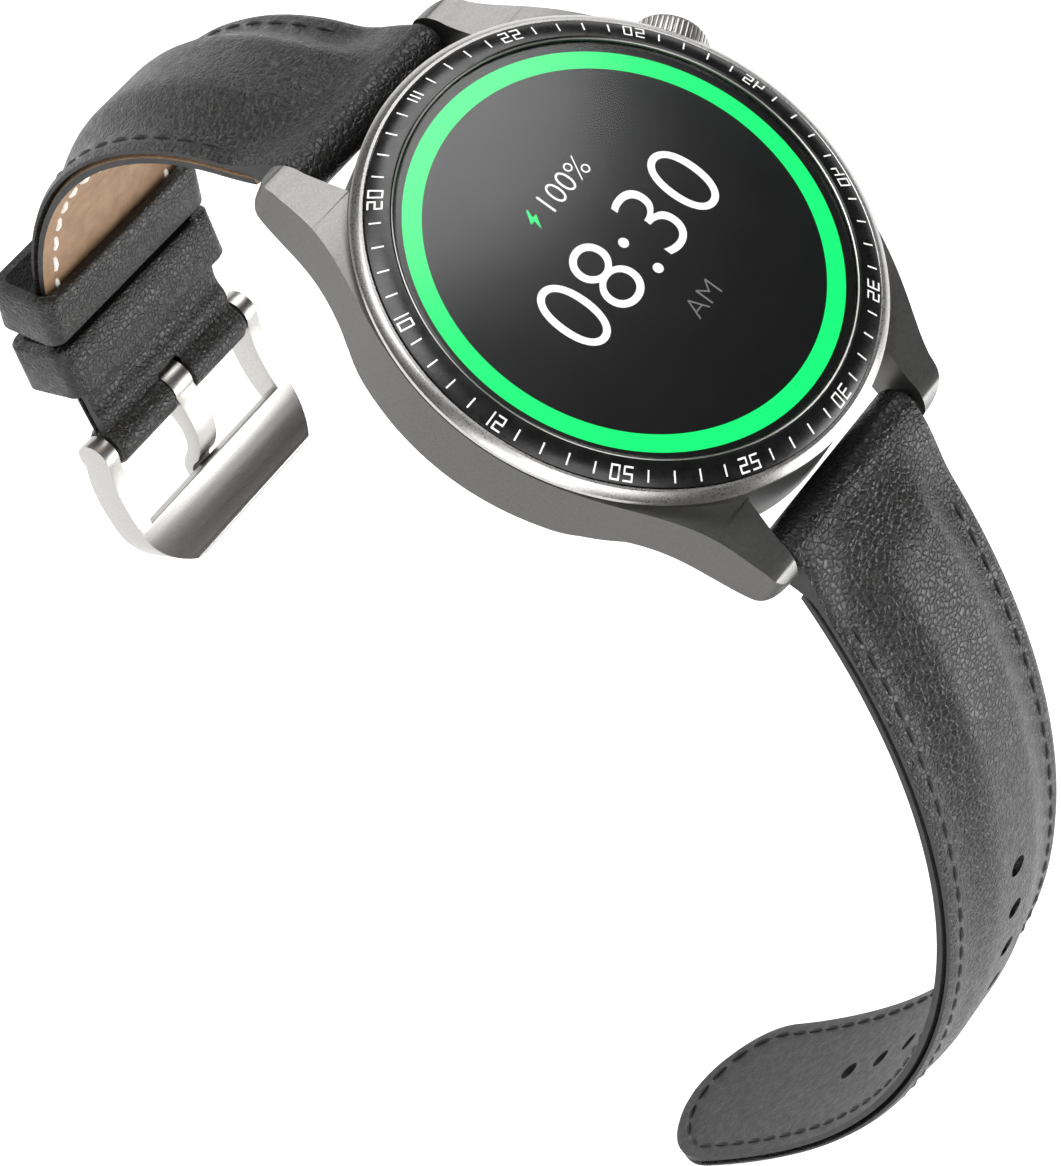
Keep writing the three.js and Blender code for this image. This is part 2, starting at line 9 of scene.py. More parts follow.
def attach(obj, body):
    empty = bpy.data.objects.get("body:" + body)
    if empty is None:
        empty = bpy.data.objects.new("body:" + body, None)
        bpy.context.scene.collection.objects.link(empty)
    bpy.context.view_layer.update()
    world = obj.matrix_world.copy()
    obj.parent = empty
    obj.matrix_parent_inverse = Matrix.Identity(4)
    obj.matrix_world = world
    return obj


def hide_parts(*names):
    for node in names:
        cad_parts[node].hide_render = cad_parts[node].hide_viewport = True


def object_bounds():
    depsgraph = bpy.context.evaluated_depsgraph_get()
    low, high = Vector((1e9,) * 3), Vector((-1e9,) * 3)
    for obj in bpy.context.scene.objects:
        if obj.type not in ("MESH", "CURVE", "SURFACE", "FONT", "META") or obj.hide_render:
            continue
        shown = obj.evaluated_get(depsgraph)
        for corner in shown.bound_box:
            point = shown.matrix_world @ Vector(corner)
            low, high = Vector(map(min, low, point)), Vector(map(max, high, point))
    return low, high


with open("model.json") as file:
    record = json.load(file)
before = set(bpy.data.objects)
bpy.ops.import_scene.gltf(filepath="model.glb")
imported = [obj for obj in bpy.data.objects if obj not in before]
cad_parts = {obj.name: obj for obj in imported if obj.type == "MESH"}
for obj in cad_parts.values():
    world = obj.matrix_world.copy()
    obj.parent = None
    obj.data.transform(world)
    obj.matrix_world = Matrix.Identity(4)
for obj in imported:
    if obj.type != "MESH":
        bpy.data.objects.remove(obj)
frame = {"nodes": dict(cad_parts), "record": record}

CAD_BOX = [list(corner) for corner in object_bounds()]
MM = 0.001

# ---------- sizes, in millimetres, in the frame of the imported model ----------
CASE_RADIUS = 24.4
CASE_TOP = 9.4
CASE_WAIST = 2.6
CASE_BOTTOM = 1.1
CAVITY_RADIUS = 22.0
LUG_GAP = 22.0
BAR_Y = 27.0
BAR_Z = 2.8
CROWN_ANGLE = math.radians(22)
CROWN_Z = 5.6
CROWN_RADIUS = 3.7
CROWN_FLUTES = 44
ROLL_RADIUS = 2.3
STRAP_WIDTH = 21.0
TAIL_WIDTH = 20.6
STITCH_INSET = 1.7
LINING_END = 53.0
FREE_KEEPER_AT = 54.0
FIXED_KEEPER_AT = 61.2
KEEPER_LENGTH = 5.8
HOLE_COUNT = 9
FIRST_HOLE_AT = 48.0
HOLE_PITCH = 6.75
HOLE_RADIUS = 1.15
BUCKLE_HEADING = 222.0
BUCKLE_HALF_WIDTH = 12.6
ARM_THICKNESS = 1.7
TONGUE_HALF_WIDTH = 1.4
LOBE_RADIUS = 1.95
BUCKLE_CORNER_WIDTH = 5.6
BUCKLE_CORNER_LENGTH = 5.8
BUCKLE_CORNER_START = 10.0
TIP_LENGTH = 9.5                    # the rounded tip of the tail
BAR_HOLE_RADIUS = 1.2
EDGE_HEIGHT = 1.05                  # of the outer leather beside the stitches, at the lugs
ROLL_TOP = ROLL_RADIUS - 0.02
DIAL_TURN = math.radians(3)         # the bezel's marks sit a half minute anticlockwise of the case
MARK_RADIUS = 22.65
SCREEN_TURN = math.radians(1.9)

# Each half of the strap is a chain of arcs in the YZ plane: length and turn in degrees.
BUCKLE_STRAP = {"side": 1, "heading": -44.0, "arcs": [(9.0, 11.9), (51.9, -96.5), (11.3, -7.6)]}
TAIL_STRAP = {"side": -1, "heading": 207.2, "arcs": [(103.5, 78.6), (27.0, 13.4)]}


# ---------- materials ----------
class Finish:
    """A node material built up in layers over one Principled shader."""

    def __init__(self, name, color, roughness, metallic=0.0):
        self.material = bpy.data.materials.new(name)
        self.material.use_nodes = True
        self.nodes = self.material.node_tree.nodes
        self.links = self.material.node_tree.links
        self.shader = self.nodes["Principled BSDF"]
        self.shader.inputs["Base Color"].default_value = (*color, 1)
        self.shader.inputs["Roughness"].default_value = roughness
        self.shader.inputs["Metallic"].default_value = metallic
        self.color = color
        self.roughness = roughness
        self.place = self.nodes.new("ShaderNodeTexCoord").outputs["Object"]
        self.normal = None

    def noise(self, size_mm, detail=4.0, stretch=(1, 1, 1)):
        mapping = self.nodes.new("ShaderNodeMapping")
        mapping.inputs["Scale"].default_value = stretch
        self.links.new(self.place, mapping.inputs["Vector"])
        noise = self.nodes.new("ShaderNodeTexNoise")
        noise.inputs["Scale"].default_value = 1 / (size_mm * MM)
        noise.inputs["Detail"].default_value = detail
        self.links.new(mapping.outputs["Vector"], noise.inputs["Vector"])
        return noise.outputs["Fac"]

    def cells(self, size_mm, wobble=0.25):
        """Distance to the creases of a pebbled skin."""
        warp = self.nodes.new("ShaderNodeTexNoise")
        warp.inputs["Scale"].default_value = 0.6 / (size_mm * MM)
        self.links.new(self.place, warp.inputs["Vector"])
        move = self.nodes.new("ShaderNodeVectorMath")
        move.operation = "MULTIPLY_ADD"
        move.inputs[1].default_value = (wobble * size_mm * MM * 4,) * 3
        self.links.new(warp.outputs["Color"], move.inputs[0])
        self.links.new(self.place, move.inputs[2])
        cells = self.nodes.new("ShaderNodeTexVoronoi")
        cells.feature = "DISTANCE_TO_EDGE"
        cells.inputs["Scale"].default_value = 1 / (size_mm * MM)
        self.links.new(move.outputs["Vector"], cells.inputs["Vector"])
        return self.ranged(cells.outputs["Distance"], 0.0, 0.22, 0.0, 1.0)

    def ranged(self, source, low, high, to_low, to_high):
        node = self.nodes.new("ShaderNodeMapRange")
        for name, value in (("From Min", low), ("From Max", high), ("To Min", to_low), ("To Max", to_high)):
            node.inputs[name].default_value = value
        self.links.new(source, node.inputs["Value"])
        return node.outputs["Result"]

    def vary_color(self, source, other, low=0.35, high=0.65):
        mix = self.nodes.new("ShaderNodeMix")
        mix.data_type = "RGBA"
        mix.inputs["A"].default_value = (*self.color, 1)
        mix.inputs["B"].default_value = (*other, 1)
        self.links.new(self.ranged(source, low, high, 0.0, 1.0), mix.inputs["Factor"])
        self.links.new(mix.outputs["Result"], self.shader.inputs["Base Color"])
        return self

    def vary_roughness(self, source, spread):
        low = max(0.02, self.roughness - spread)
        high = min(1.0, self.roughness + spread)
        self.links.new(self.ranged(source, 0.3, 0.7, low, high), self.shader.inputs["Roughness"])
        return self

    def bump(self, source, depth_mm, strength=1.0):
        bump = self.nodes.new("ShaderNodeBump")
        bump.inputs["Distance"].default_value = depth_mm * MM
        bump.inputs["Strength"].default_value = strength
        self.links.new(source, bump.inputs["Height"])
        if self.normal is not None:
            self.links.new(self.normal, bump.inputs["Normal"])
        self.normal = bump.outputs["Normal"]
        self.links.new(self.normal, self.shader.inputs["Normal"])
        return self

    def set(self, **values):
        for name, value in values.items():
            self.shader.inputs[name.replace("_", " ")].default_value = value
        return self


def metal(name, color, roughness, other, grain_mm=0.09, depth=0.006):
    finish = Finish(name, color, roughness, 1.0)
    finish.vary_color(finish.noise(0.2), other)
    finish.vary_roughness(finish.noise(0.15), 0.05)
    return finish.bump(finish.noise(grain_mm, 2.0), depth, 0.6).material


def leather(name, color, other, roughness, cell_mm=0.6, depth=0.11):
    finish = Finish(name, color, roughness)
    finish.set(Specular_IOR_Level=0.45, Coat_Weight=0.08, Coat_Roughness=0.3)
    finish.vary_color(finish.noise(1.6), other)
    finish.vary_roughness(finish.noise(0.9), 0.1)
    finish.bump(finish.cells(cell_mm), depth, 0.8)
    finish.bump(finish.noise(5.5, 3.0), 0.12, 0.15)
    return finish.bump(finish.noise(0.16, 3.0), 0.014, 0.4).material


def plastic(name, color, roughness, other=None, grain_mm=0.3):
    finish = Finish(name, color, roughness)
    finish.vary_color(finish.noise(1.8), other or tuple(c * 1.4 + 0.002 for c in color))
    finish.vary_roughness(finish.noise(1.1), 0.05)
    return finish.bump(finish.noise(grain_mm), 0.008, 0.5).material


def glowing(name, color, strength):
    finish = Finish(name, color, 0.4)
    finish.vary_roughness(finish.noise(0.4), 0.05)
    finish.set(Emission_Color=(*color, 1), Emission_Strength=strength)
    return finish.material


def clear_glass(name, alpha, roughness):
    finish = Finish(name, (0.004, 0.004, 0.005), roughness)
    finish.vary_roughness(finish.noise(6.0), 0.01)
    return finish.set(Alpha=alpha, IOR=2.0).material


LOOKS = {
    "case_metal": metal("case_metal", (0.21, 0.208, 0.204), 0.44, (0.18, 0.178, 0.174)),
    # A darker copy of the case metal for the sideways faces: painted shade on the case flanks
    "case_flank_painted_shade": metal("case_flank_painted_shade", (0.1, 0.098, 0.095), 0.44, (0.12, 0.118, 0.115)),
    "bright_edge": metal("bright_edge", (0.5, 0.49, 0.48), 0.3, (0.42, 0.41, 0.4), 0.2, 0.002),
    "gunmetal": metal("gunmetal", (0.46, 0.45, 0.43), 0.36, (0.4, 0.39, 0.375), 0.3, 0.002),
    "steel": metal("steel", (0.5, 0.5, 0.49), 0.25, (0.42, 0.42, 0.41), 0.3, 0.002),
    "gold_contact": metal("gold_contact", (0.75, 0.52, 0.2), 0.25, (0.65, 0.43, 0.15), 0.3, 0.002),
    "cell_foil": metal("cell_foil", (0.6, 0.6, 0.62), 0.4, (0.5, 0.5, 0.52), 0.6, 0.02),
    "bezel_black": plastic("bezel_black", (0.004, 0.004, 0.0045), 0.28, (0.006, 0.006, 0.0065)),
    "white_mark": plastic("white_mark", (0.8, 0.8, 0.78), 0.5),
    "cover_glass": clear_glass("cover_glass", 0.3, 0.22),
    "sensor_glass": clear_glass("sensor_glass", 0.85, 0.06),
    "display": plastic("display", (0.001, 0.001, 0.001), 0.5, (0.0015, 0.0015, 0.0015)),
    "dark_plastic": plastic("dark_plastic", (0.018, 0.018, 0.02), 0.5),
    "circuit_board": plastic("circuit_board", (0.01, 0.09, 0.04), 0.4),
    "seal_rubber": plastic("seal_rubber", (0.012, 0.012, 0.012), 0.8),
    "black_leather": leather("black_leather", (0.007, 0.0066, 0.0062), (0.011, 0.0103, 0.0097), 0.46),
    "grey_leather": leather("grey_leather", (0.011, 0.011, 0.0105), (0.016, 0.0155, 0.015), 0.6, 0.5, 0.04),
    "tan_leather": leather("tan_leather", (0.36, 0.225, 0.13), (0.28, 0.17, 0.095), 0.62, 0.5, 0.04),
    "edge_paint": plastic("edge_paint", (0.006, 0.006, 0.006), 0.6, grain_mm=0.5),
    "black_thread": plastic("black_thread", (0.008, 0.008, 0.008), 0.55, grain_mm=0.12),
    "white_thread": plastic("white_thread", (0.7, 0.68, 0.63), 0.7, grain_mm=0.12),
    "glow_green": glowing("glow_green", (0.0, 1.0, 0.2), 1.5),
    "glow_white": glowing("glow_white", (1.0, 1.0, 1.0), 1.7),
    "glow_grey": glowing("glow_grey", (0.3, 0.3, 0.3), 0.7),
}


# ---------- making pieces ----------
def make(name, mesh, look, body, nodes=()):
    """One visible piece, which rides on a body and may stand for CAD nodes."""
    piece = bpy.data.objects.new(name, mesh)
    bpy.context.scene.collection.objects.link(piece)
    if not mesh.materials:
        mesh.materials.append(LOOKS[look])
    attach(piece, body)
    if nodes:
        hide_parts(*nodes)
    return piece


def smooth(mesh, degrees=35.0):
    mesh.shade_smooth()
    mesh.set_sharp_from_angle(angle=math.radians(degrees))
    return mesh


def finished(mesh_maker, degrees=35.0):
    """A mesh from a bmesh: doubles merged, faces outward."""
    mesh = bpy.data.meshes.new("shape")
    bmesh.ops.remove_doubles(mesh_maker, verts=mesh_maker.verts, dist=1e-7)
    bmesh.ops.recalc_face_normals(mesh_maker, faces=mesh_maker.faces)
    mesh_maker.to_mesh(mesh)
    mesh_maker.free()
    return smooth(mesh, degrees)


def lathe(profile, sides=192, degrees=30.0):
    """Turns a profile of (radius, height) about Z. It closes on itself, or on the axis."""
    maker = bmesh.new()
    rings = []
    for i in range(sides):
        angle = 2 * math.pi * i / sides
        ring = []
        for radius, height in profile:
            x = radius * math.cos(angle) * MM
            y = radius * math.sin(angle) * MM
            ring.append(maker.verts.new((x, y, height * MM)))
        rings.append(ring)
    on_axis = profile[0][0] == 0
    steps = len(profile) - 1 if on_axis else len(profile)
    for i in range(sides):
        here = rings[i]
        there = rings[(i + 1) % sides]
        for j in range(steps):
            k = (j + 1) % len(profile)
            corners = [here[j], there[j], there[k], here[k]]
            if profile[j][0] == 0:
                corners = [here[j], there[k], here[k]]
            elif profile[k][0] == 0:
                corners = [here[j], there[j], here[k]]
            maker.faces.new(corners)
    return finished(maker, degrees)


def prism(outline, low, high, to_place):
    """A flat outline of (a, b) made into a solid between two depths, then placed."""
    maker = bmesh.new()
    bottom = [maker.verts.new(to_place(a, b, low)) for a, b in outline]
    top = [maker.verts.new(to_place(a, b, high)) for a, b in outline]
    maker.faces.new(bottom)
    maker.faces.new(list(reversed(top)))
    count = len(outline)
    for i in range(count):
        j = (i + 1) % count
        maker.faces.new([bottom[i], bottom[j], top[j], top[i]])
    return finished(maker)


def upright(x, y, z):
    return (x * MM, y * MM, z * MM)


def across(y, z, x):
    return (x * MM, y * MM, z * MM)


def box_mesh(low, high):
    outline = [(low[0], low[1]), (high[0], low[1]), (high[0], high[1]), (low[0], high[1])]
    return prism(outline, low[2], high[2], upright)


def circle(radius, count, centre=(0.0, 0.0)):
    points = []
    for i in range(count):
        angle = 2 * math.pi * i / count
        points.append((centre[0] + radius * math.cos(angle), centre[1] + radius * math.sin(angle)))
    return points


def rod(radius, low, high, y, z, count=48):
    return prism(circle(radius, count, (y, z)), low, high, across)


def bezier(count, a, b, c, d):
    points = []
    for i in range(count + 1):
        t = i / count
        u = 1 - t
        weights = (u ** 3, 3 * u * u * t, 3 * u * t * t, t ** 3)
        corners = (a, b, c, d)
        points.append(tuple(sum(w * p[k] for w, p in zip(weights, corners)) for k in (0, 1)))
    return points


def carve(mesh, steps):
    """Applies boolean steps of (operation, mesh) to a mesh, one after another."""
    target = bpy.data.objects.new("target", mesh)
    bpy.context.scene.collection.objects.link(target)
    for operation, other in steps:
        cutter = bpy.data.objects.new("cutter", other)
        bpy.context.scene.collection.objects.link(cutter)
        modifier = target.modifiers.new("cut", "BOOLEAN")
        modifier.operation = operation
        modifier.solver = "EXACT"
        modifier.object = cutter
        result = evaluated(target)
        target.modifiers.clear()
        target.data = result
        bpy.data.objects.remove(cutter)
    bpy.data.objects.remove(target)
    return result


def evaluated(piece):
    graph = bpy.context.evaluated_depsgraph_get()
    return bpy.data.meshes.new_from_object(piece.evaluated_get(graph))


def beveled(mesh, width_mm, segments=2, degrees=30.0):
    holder = bpy.data.objects.new("holder", mesh)
    bpy.context.scene.collection.objects.link(holder)
    modifier = holder.modifiers.new("edge", "BEVEL")
    modifier.width = width_mm * MM
    modifier.segments = segments
    modifier.limit_method = "ANGLE"
    modifier.angle_limit = math.radians(degrees)
    modifier.use_clamp_overlap = True
    result = evaluated(holder)
    bpy.data.objects.remove(holder)
    return smooth(result, 40.0)


# ---------- case ----------
def mirrored_round(quarter):
    """A whole outline from its first quarter, mirrored in both axes."""
    half = quarter + [(-x, y) for x, y in reversed(quarter)]
    return half + [(x, -y) for x, y in reversed(half[1:-1])]


def case_plan():
    flare_start = math.radians(9)
    quarter = []
    for i in range(6):
        angle = flare_start * i / 6
        quarter.append((CASE_RADIUS * math.cos(angle), CASE_RADIUS * math.sin(angle)))
    start = (CASE_RADIUS * math.cos(flare_start), CASE_RADIUS * math.sin(flare_start))
    quarter += bezier(40, start, (22.8, 12.8), (16.0, 20.2), (14.4, 27.2))
    quarter += bezier(10, (14.4, 27.2), (14.2, 28.5), (13.0, 29.1), (LUG_GAP / 2, 29.1))[1:]
    return mirrored_round(quarter)


def case_side():
    horn = bezier(16, (14.5, CASE_TOP), (21.0, CASE_TOP), (22.6, 7.4), (26.2, 5.9))
    horn += bezier(10, (26.2, 5.9), (28.0, 5.6), (29.2, 4.2), (29.2, 2.7))[1:]
    horn += bezier(10, (29.2, 2.7), (29.0, 1.2), (27.4, 0.9), (26.0, 1.1))[1:]
    horn += bezier(16, (26.0, 1.1), (22.4, 1.7), (20.0, 4.3), (15.8, 4.1))[1:]
    horn += bezier(10, (15.8, 4.1), (13.4, 4.0), (12.6, CASE_WAIST), (10.0, CASE_WAIST))[1:]
    return horn + [(-y, z) for y, z in reversed(horn)]


def crown_place(mesh):
    """Turns a mesh made about Z onto the crown's axis."""
    mesh.transform(Matrix.Rotation(math.pi / 2, 4, "Y"))
    mesh.transform(Matrix.Rotation(CROWN_ANGLE, 4, "Z"))
    mesh.transform(Matrix.Translation((0, 0, CROWN_Z * MM)))
    return mesh


def mid_case():
    lugs = carve(prism(case_plan(), 0, 12, upright), [("INTERSECT", prism(case_side(), -30, 30, across))])
    core = prism(circle(CASE_RADIUS, 192), -1, 13, upright)
    slots = [carve(box_mesh((-11, 0, -0.9), (11, 32, 12.9)), [("DIFFERENCE", core)])]
    slots.append(carve(box_mesh((-11, -32, -0.9), (11, 0, 12.9)), [("DIFFERENCE", core)]))
    ring = lathe([
        (20.0, CASE_BOTTOM), (CASE_RADIUS - 1.5, CASE_BOTTOM), (CASE_RADIUS, CASE_WAIST),
        (CASE_RADIUS, CASE_TOP), (20.0, CASE_TOP),
    ])
    steps = [("DIFFERENCE", slot) for slot in slots]
    steps.append(("UNION", ring))
    steps.append(("DIFFERENCE", prism(circle(CAVITY_RADIUS, 160), 0, 12, upright)))
    for end in (-1, 1):
        steps.append(("DIFFERENCE", rod(0.85, -12.7, 12.7, end * BAR_Y, BAR_Z, 24)))
    steps.append(("DIFFERENCE", crown_place(lathe([(0, 24), (4.1, 24), (4.1, 28), (0, 28)], 64))))
    steps.append(("DIFFERENCE", crown_place(lathe([(0, 19), (1.75, 19), (1.75, 24.3), (0, 24.3)], 48))))
    mesh = beveled(carve(lugs, steps), 0.14)
    mesh.materials.clear()
    mesh.materials.append(LOOKS["case_metal"])
    mesh.materials.append(LOOKS["case_flank_painted_shade"])
    # Faces turned sideways or down take the darker copy of the case metal: painted shade on the flanks
    for face in mesh.polygons:
        face.material_index = 1 if face.normal.z < 0.22 else 0
    make("case_body", mesh, "case_metal", "case", ["mid_case"])


def bezel():
    ring = lathe([
        (21.6, 9.7), (24.2, 9.7), (24.42, 9.86), (24.6, 9.92), (24.6, 10.34), (24.54, 10.43),
        (23.98, 10.94), (23.88, 11.0), (23.62, 11.0), (23.55, 10.95), (23.55, 10.4), (21.6, 10.4),
    ], 256)
    make("bezel_edge", ring, "bright_edge", "case", ["bezel_ring"])
    insert = lathe([
        (21.3, 10.7), (23.25, 10.7), (23.5, 10.85), (23.5, 11.05), (23.44, 11.12),
        (21.5, 11.86), (21.42, 11.86), (21.3, 11.75),
    ], 256)
    make("bezel_band", insert, "bezel_black", "case", ["bezel_insert"])
    lip = lathe([(21.1, 11.5), (21.26, 11.5), (21.26, 11.8), (21.2, 11.84), (21.1, 11.78)], 256)
    make("glass_surround", lip, "gunmetal", "case")


def on_insert(angle, radius, lift):
    """A point on the sloping insert: angle clockwise from 12, radius in millimetres."""
    slope = (11.86 - 11.12) / (23.44 - 21.5)
    height = 11.86 - (radius - 21.5) * slope + lift
    return Vector((radius * math.sin(angle) * MM, radius * math.cos(angle) * MM, height * MM))


def add_stroke(maker, angle, across_mm, radius_low, radius_high, width_mm, inward):
    """A flat raised bar on the insert, at an offset across the mark's own middle line."""
    corners = []
    for lift in (-0.02, 0.018):
        for dx, radius in ((-1, radius_low), (1, radius_low), (1, radius_high), (-1, radius_high)):
            shift = (across_mm + dx * width_mm / 2) / MARK_RADIUS
            corners.append(maker.verts.new(on_insert(angle + inward * shift, radius, lift)))
    for face in ((0, 1, 2, 3), (7, 6, 5, 4), (0, 4, 5, 1), (1, 5, 6, 2), (2, 6, 7, 3), (3, 7, 4, 0)):
        maker.faces.new([corners[i] for i in face])


# Which of the seven strokes each figure lights: top, two upper sides, middle, two lower sides, bottom.
SEGMENTS = {
    "0": "top upper_left upper_right lower_left lower_right bottom",
    "1": "upper_right lower_right",
    "2": "top upper_right middle lower_left bottom",
    "3": "top upper_right middle lower_right bottom",
    "4": "upper_left upper_right middle lower_right",
    "5": "top upper_left middle lower_right bottom",
}


def add_figure(maker, figure, angle, centre_mm, tops_outward):
    """A seven-stroke figure, mirrored left to right, with its top outward or inward."""
    width = 0.84
    height = 1.3
    stroke = 0.15
    outward = 1 if tops_outward else -1
    for segment in SEGMENTS[figure].split():
        if segment in ("top", "middle", "bottom"):
            level = {"top": 1, "middle": 0, "bottom": -1}[segment] * (height - stroke) / 2
            middle = MARK_RADIUS + outward * level
            add_stroke(maker, angle, centre_mm, middle - stroke / 2, middle + stroke / 2, width, outward)
        else:
            side = 1 if segment.endswith("right") else -1
            level = (1 if segment.startswith("upper") else -1) * outward * height / 4
            middle = MARK_RADIUS + level
            offset = centre_mm - side * (width - stroke) / 2
            add_stroke(maker, angle, offset, middle - height / 4, middle + height / 4, stroke, outward)


def bezel_marks():
    ticks = bmesh.new()
    figures = bmesh.new()
    for minute in range(60):
        angle = math.radians(6 * minute) - DIAL_TURN
        hour = minute // 5
        if minute % 5:
            add_stroke(ticks, angle, 0, MARK_RADIUS - 0.5, MARK_RADIUS + 0.5, 0.15, 1)
        elif hour == 0:
            for offset in (-0.5, 0, 0.5):
                add_stroke(ticks, angle, offset, MARK_RADIUS - 0.5, MARK_RADIUS + 0.5, 0.15, 1)
        else:
            tops_outward = hour in (9, 10, 11, 1, 2, 3)
            text = f"{60 - 5 * hour:02d}"
            for index, figure in enumerate(text):
                centre = (0.58 if index == 0 else -0.58)
                add_figure(figures, figure, angle, centre, tops_outward)
    make("bezel_ticks", finished(ticks), "white_mark", "case")
    make("bezel_numbers", finished(figures), "white_mark", "case")


# ---------- display ----------
SCREEN_Z = 11.17


def screen():
    panel = lathe([(0, 9.65), (20.95, 9.65), (20.95, 11.1), (20.85, SCREEN_Z - 0.02), (0, SCREEN_Z - 0.02)])
    make("screen_panel", panel, "display", "case", ["display_panel"])
    low = SCREEN_Z - 0.02
    ring = lathe([(18.42, low), (20.17, low), (20.17, SCREEN_Z), (18.42, SCREEN_Z)], 256)
    make("screen_ring", ring, "glow_green", "case")
    glass = lathe([
        (0, 11.25), (20.9, 11.25), (21.0, 11.35), (21.0, 11.52), (20.86, 11.64), (20.7, 11.68), (0, 11.68),
    ], 256)
    make("front_glass", glass, "cover_glass", "case", ["cover_glass"])
    words("screen_time", "08:30", (0.2, -3.8), 10.75, "glow_white", -0.15)
    words("screen_charge", "100%", (1.35, 6.75), 3.2, "glow_white", -0.05)
    words("screen_half_day", "AM", (0.4, -8.95), 2.9, "glow_grey", -0.06)
    bolt = [(0.25, 1.0), (-0.6, -0.1), (-0.08, -0.1), (-0.3, -1.0), (0.6, 0.18), (0.08, 0.18), (0.42, 1.0)]
    shape = [turned(x - 3.4, y + 7.8) for x, y in bolt]
    mesh = prism(shape, SCREEN_Z - 0.02, SCREEN_Z, upright)
    make("screen_bolt", mesh, "glow_green", "case")


def turned(x, y):
    """A point on the screen, turned with the picture."""
    return (x * math.cos(SCREEN_TURN) - y * math.sin(SCREEN_TURN),
            x * math.sin(SCREEN_TURN) + y * math.cos(SCREEN_TURN))


def words(name, text, place, size_mm, look, thicken):
    """Figures lit on the screen, drawn with the built-in font."""
    curve = bpy.data.curves.new(name, "FONT")
    curve.body = text
    curve.size = size_mm * MM
    curve.align_x = "CENTER"
    curve.offset = thicken * MM
    curve.extrude = 0.01 * MM
    curve.resolution_u = 8
    holder = bpy.data.objects.new("words", curve)
    bpy.context.scene.collection.objects.link(holder)
    mesh = evaluated(holder)
    bpy.data.objects.remove(holder)
    x, y = turned(*place)
    mesh.transform(Matrix.Rotation(SCREEN_TURN, 4, "Z"))
    mesh.transform(Matrix.Translation((x * MM, y * MM, (SCREEN_Z - 0.01) * MM)))
    mesh.materials.clear()
    make(name, mesh, look, "case")


# ---------- crown ----------
def crown():
    outline = []
    for i in range(CROWN_FLUTES):
        for step, radius in ((0.0, 0.95), (0.15, 0.99), (0.3, 1.0), (0.6, 1.0), (0.75, 0.99), (0.9, 0.95)):
            angle = 2 * math.pi * (i + step) / CROWN_FLUTES
            outline.append((CROWN_RADIUS * radius * math.cos(angle), CROWN_RADIUS * radius * math.sin(angle)))
    fluted = prism(outline, 24.8, 27.7, upright)
    rounded = lathe([
        (0, 24.8), (3.4, 24.8), (3.7, 25.1), (3.72, 25.4), (3.72, 27.1),
        (3.5, 27.5), (3.2, 27.68), (2.7, 27.7),
        (2.55, 27.6), (0, 27.6),
    ], 132)
    mesh = smooth(crown_place(carve(fluted, [("INTERSECT", rounded)])), 30.0)
    make("crown_knob", mesh, "gunmetal", "crown", ["crown_cap"])


# ---------- straps ----------
def strap_point(strap, distance):
    """The middle line's y, z and heading at a distance from the spring bar."""
    heading = math.radians(strap["heading"])
    y = strap["side"] * BAR_Y
    z = BAR_Z
    left = distance
    for length, turn in strap["arcs"]:
        part = min(left, length)
        if part > 0:
            bend = math.radians(turn) * part / length
            chord = part * math.sin(bend / 2) / (bend / 2)
            y += chord * math.cos(heading + bend / 2)
            z += chord * math.sin(heading + bend / 2)
            heading += bend
            left -= part
    return y, z, heading


def strap_length(strap):
    return sum(arc[0] for arc in strap["arcs"])


def on_strap(strap, distance, x, height):
    """A place on a strap: distance along, x across, height outward from the middle line."""
    y, z, heading = strap_point(strap, distance)
    side = strap["side"]
    y -= side * height * math.sin(heading)
    z += side * height * math.cos(heading)
    return Vector((x * MM, y * MM, z * MM))


def step_up(t):
    t = max(0.0, min(1.0, t))
    return t * t * (3 - 2 * t)


def loft(sections, look, side_look=None, degrees=50.0):
    """Joins closed rings of points into a tube with flat ends. Faces turned to the sides take side_look."""
    maker = bmesh.new()
    rings = [[maker.verts.new(point) for point in section] for section in sections]
    count = len(rings[0])
    for here, there in zip(rings, rings[1:]):
        for i in range(count):
            j = (i + 1) % count
            maker.faces.new([here[i], here[j], there[j], there[i]])
    maker.faces.new(rings[0])
    maker.faces.new(list(reversed(rings[-1])))
    mesh = finished(maker, degrees)
    mesh.materials.append(LOOKS[look])
    if side_look:
        mesh.materials.append(LOOKS[side_look])
        for face in mesh.polygons:
            face.material_index = 1 if abs(face.normal.x) > 0.72 else 0
    return mesh


def band_section(strap, distance, half, low, high, rounding=0.35, samples=28):
    """A ring of points round a leather band. high gives the top's height for a place across."""
    ring = []
    for i in range(samples + 1):
        x = -half + 2 * half * i / samples
        edge = min(rounding, half)
        inside = max(0.0, min(1.0, (half - abs(x)) / edge))
        drop = rounding * (1 - math.sqrt(max(0.0, 1 - (1 - inside) ** 2)))
        ring.append(on_strap(strap, distance, x, high(x) - drop))
    for i in range(samples, -1, -1):
        x = -half + 2 * half * i / samples
        edge = min(rounding, half)
        inside = max(0.0, min(1.0, (half - abs(x)) / edge))
        drop = 0.5 * rounding * (1 - math.sqrt(max(0.0, 1 - (1 - inside) ** 2)))
        ring.append(on_strap(strap, distance, x, low(x) + drop))
    return ring


def padded_top(strap, distance, half):
    """Height of the outer leather: flat to the stitches, then padded to the middle."""
    length = strap_length(strap)
    edge = EDGE_HEIGHT - 0.3 * distance / length
    away = from_roll(distance)
    puff = 0.55 + 1.75 * math.exp(-((distance / 42.0) ** 2))
    if strap is TAIL_STRAP:
        puff *= step_up((length - 6 - distance) / 45.0)
    else:
        puff *= step_up((60 - distance) / 22.0)

    def height(x):
        inside = step_up((half - 2.3 - abs(x)) / 5.2)
        stitched = 0.12 * math.exp(-(((half - STITCH_INSET - abs(x)) / 0.35) ** 2))
        flat = edge - stitched + 0.15 * inside
        return (flat + puff * inside) * away + ROLL_TOP * (1 - away)
    return height


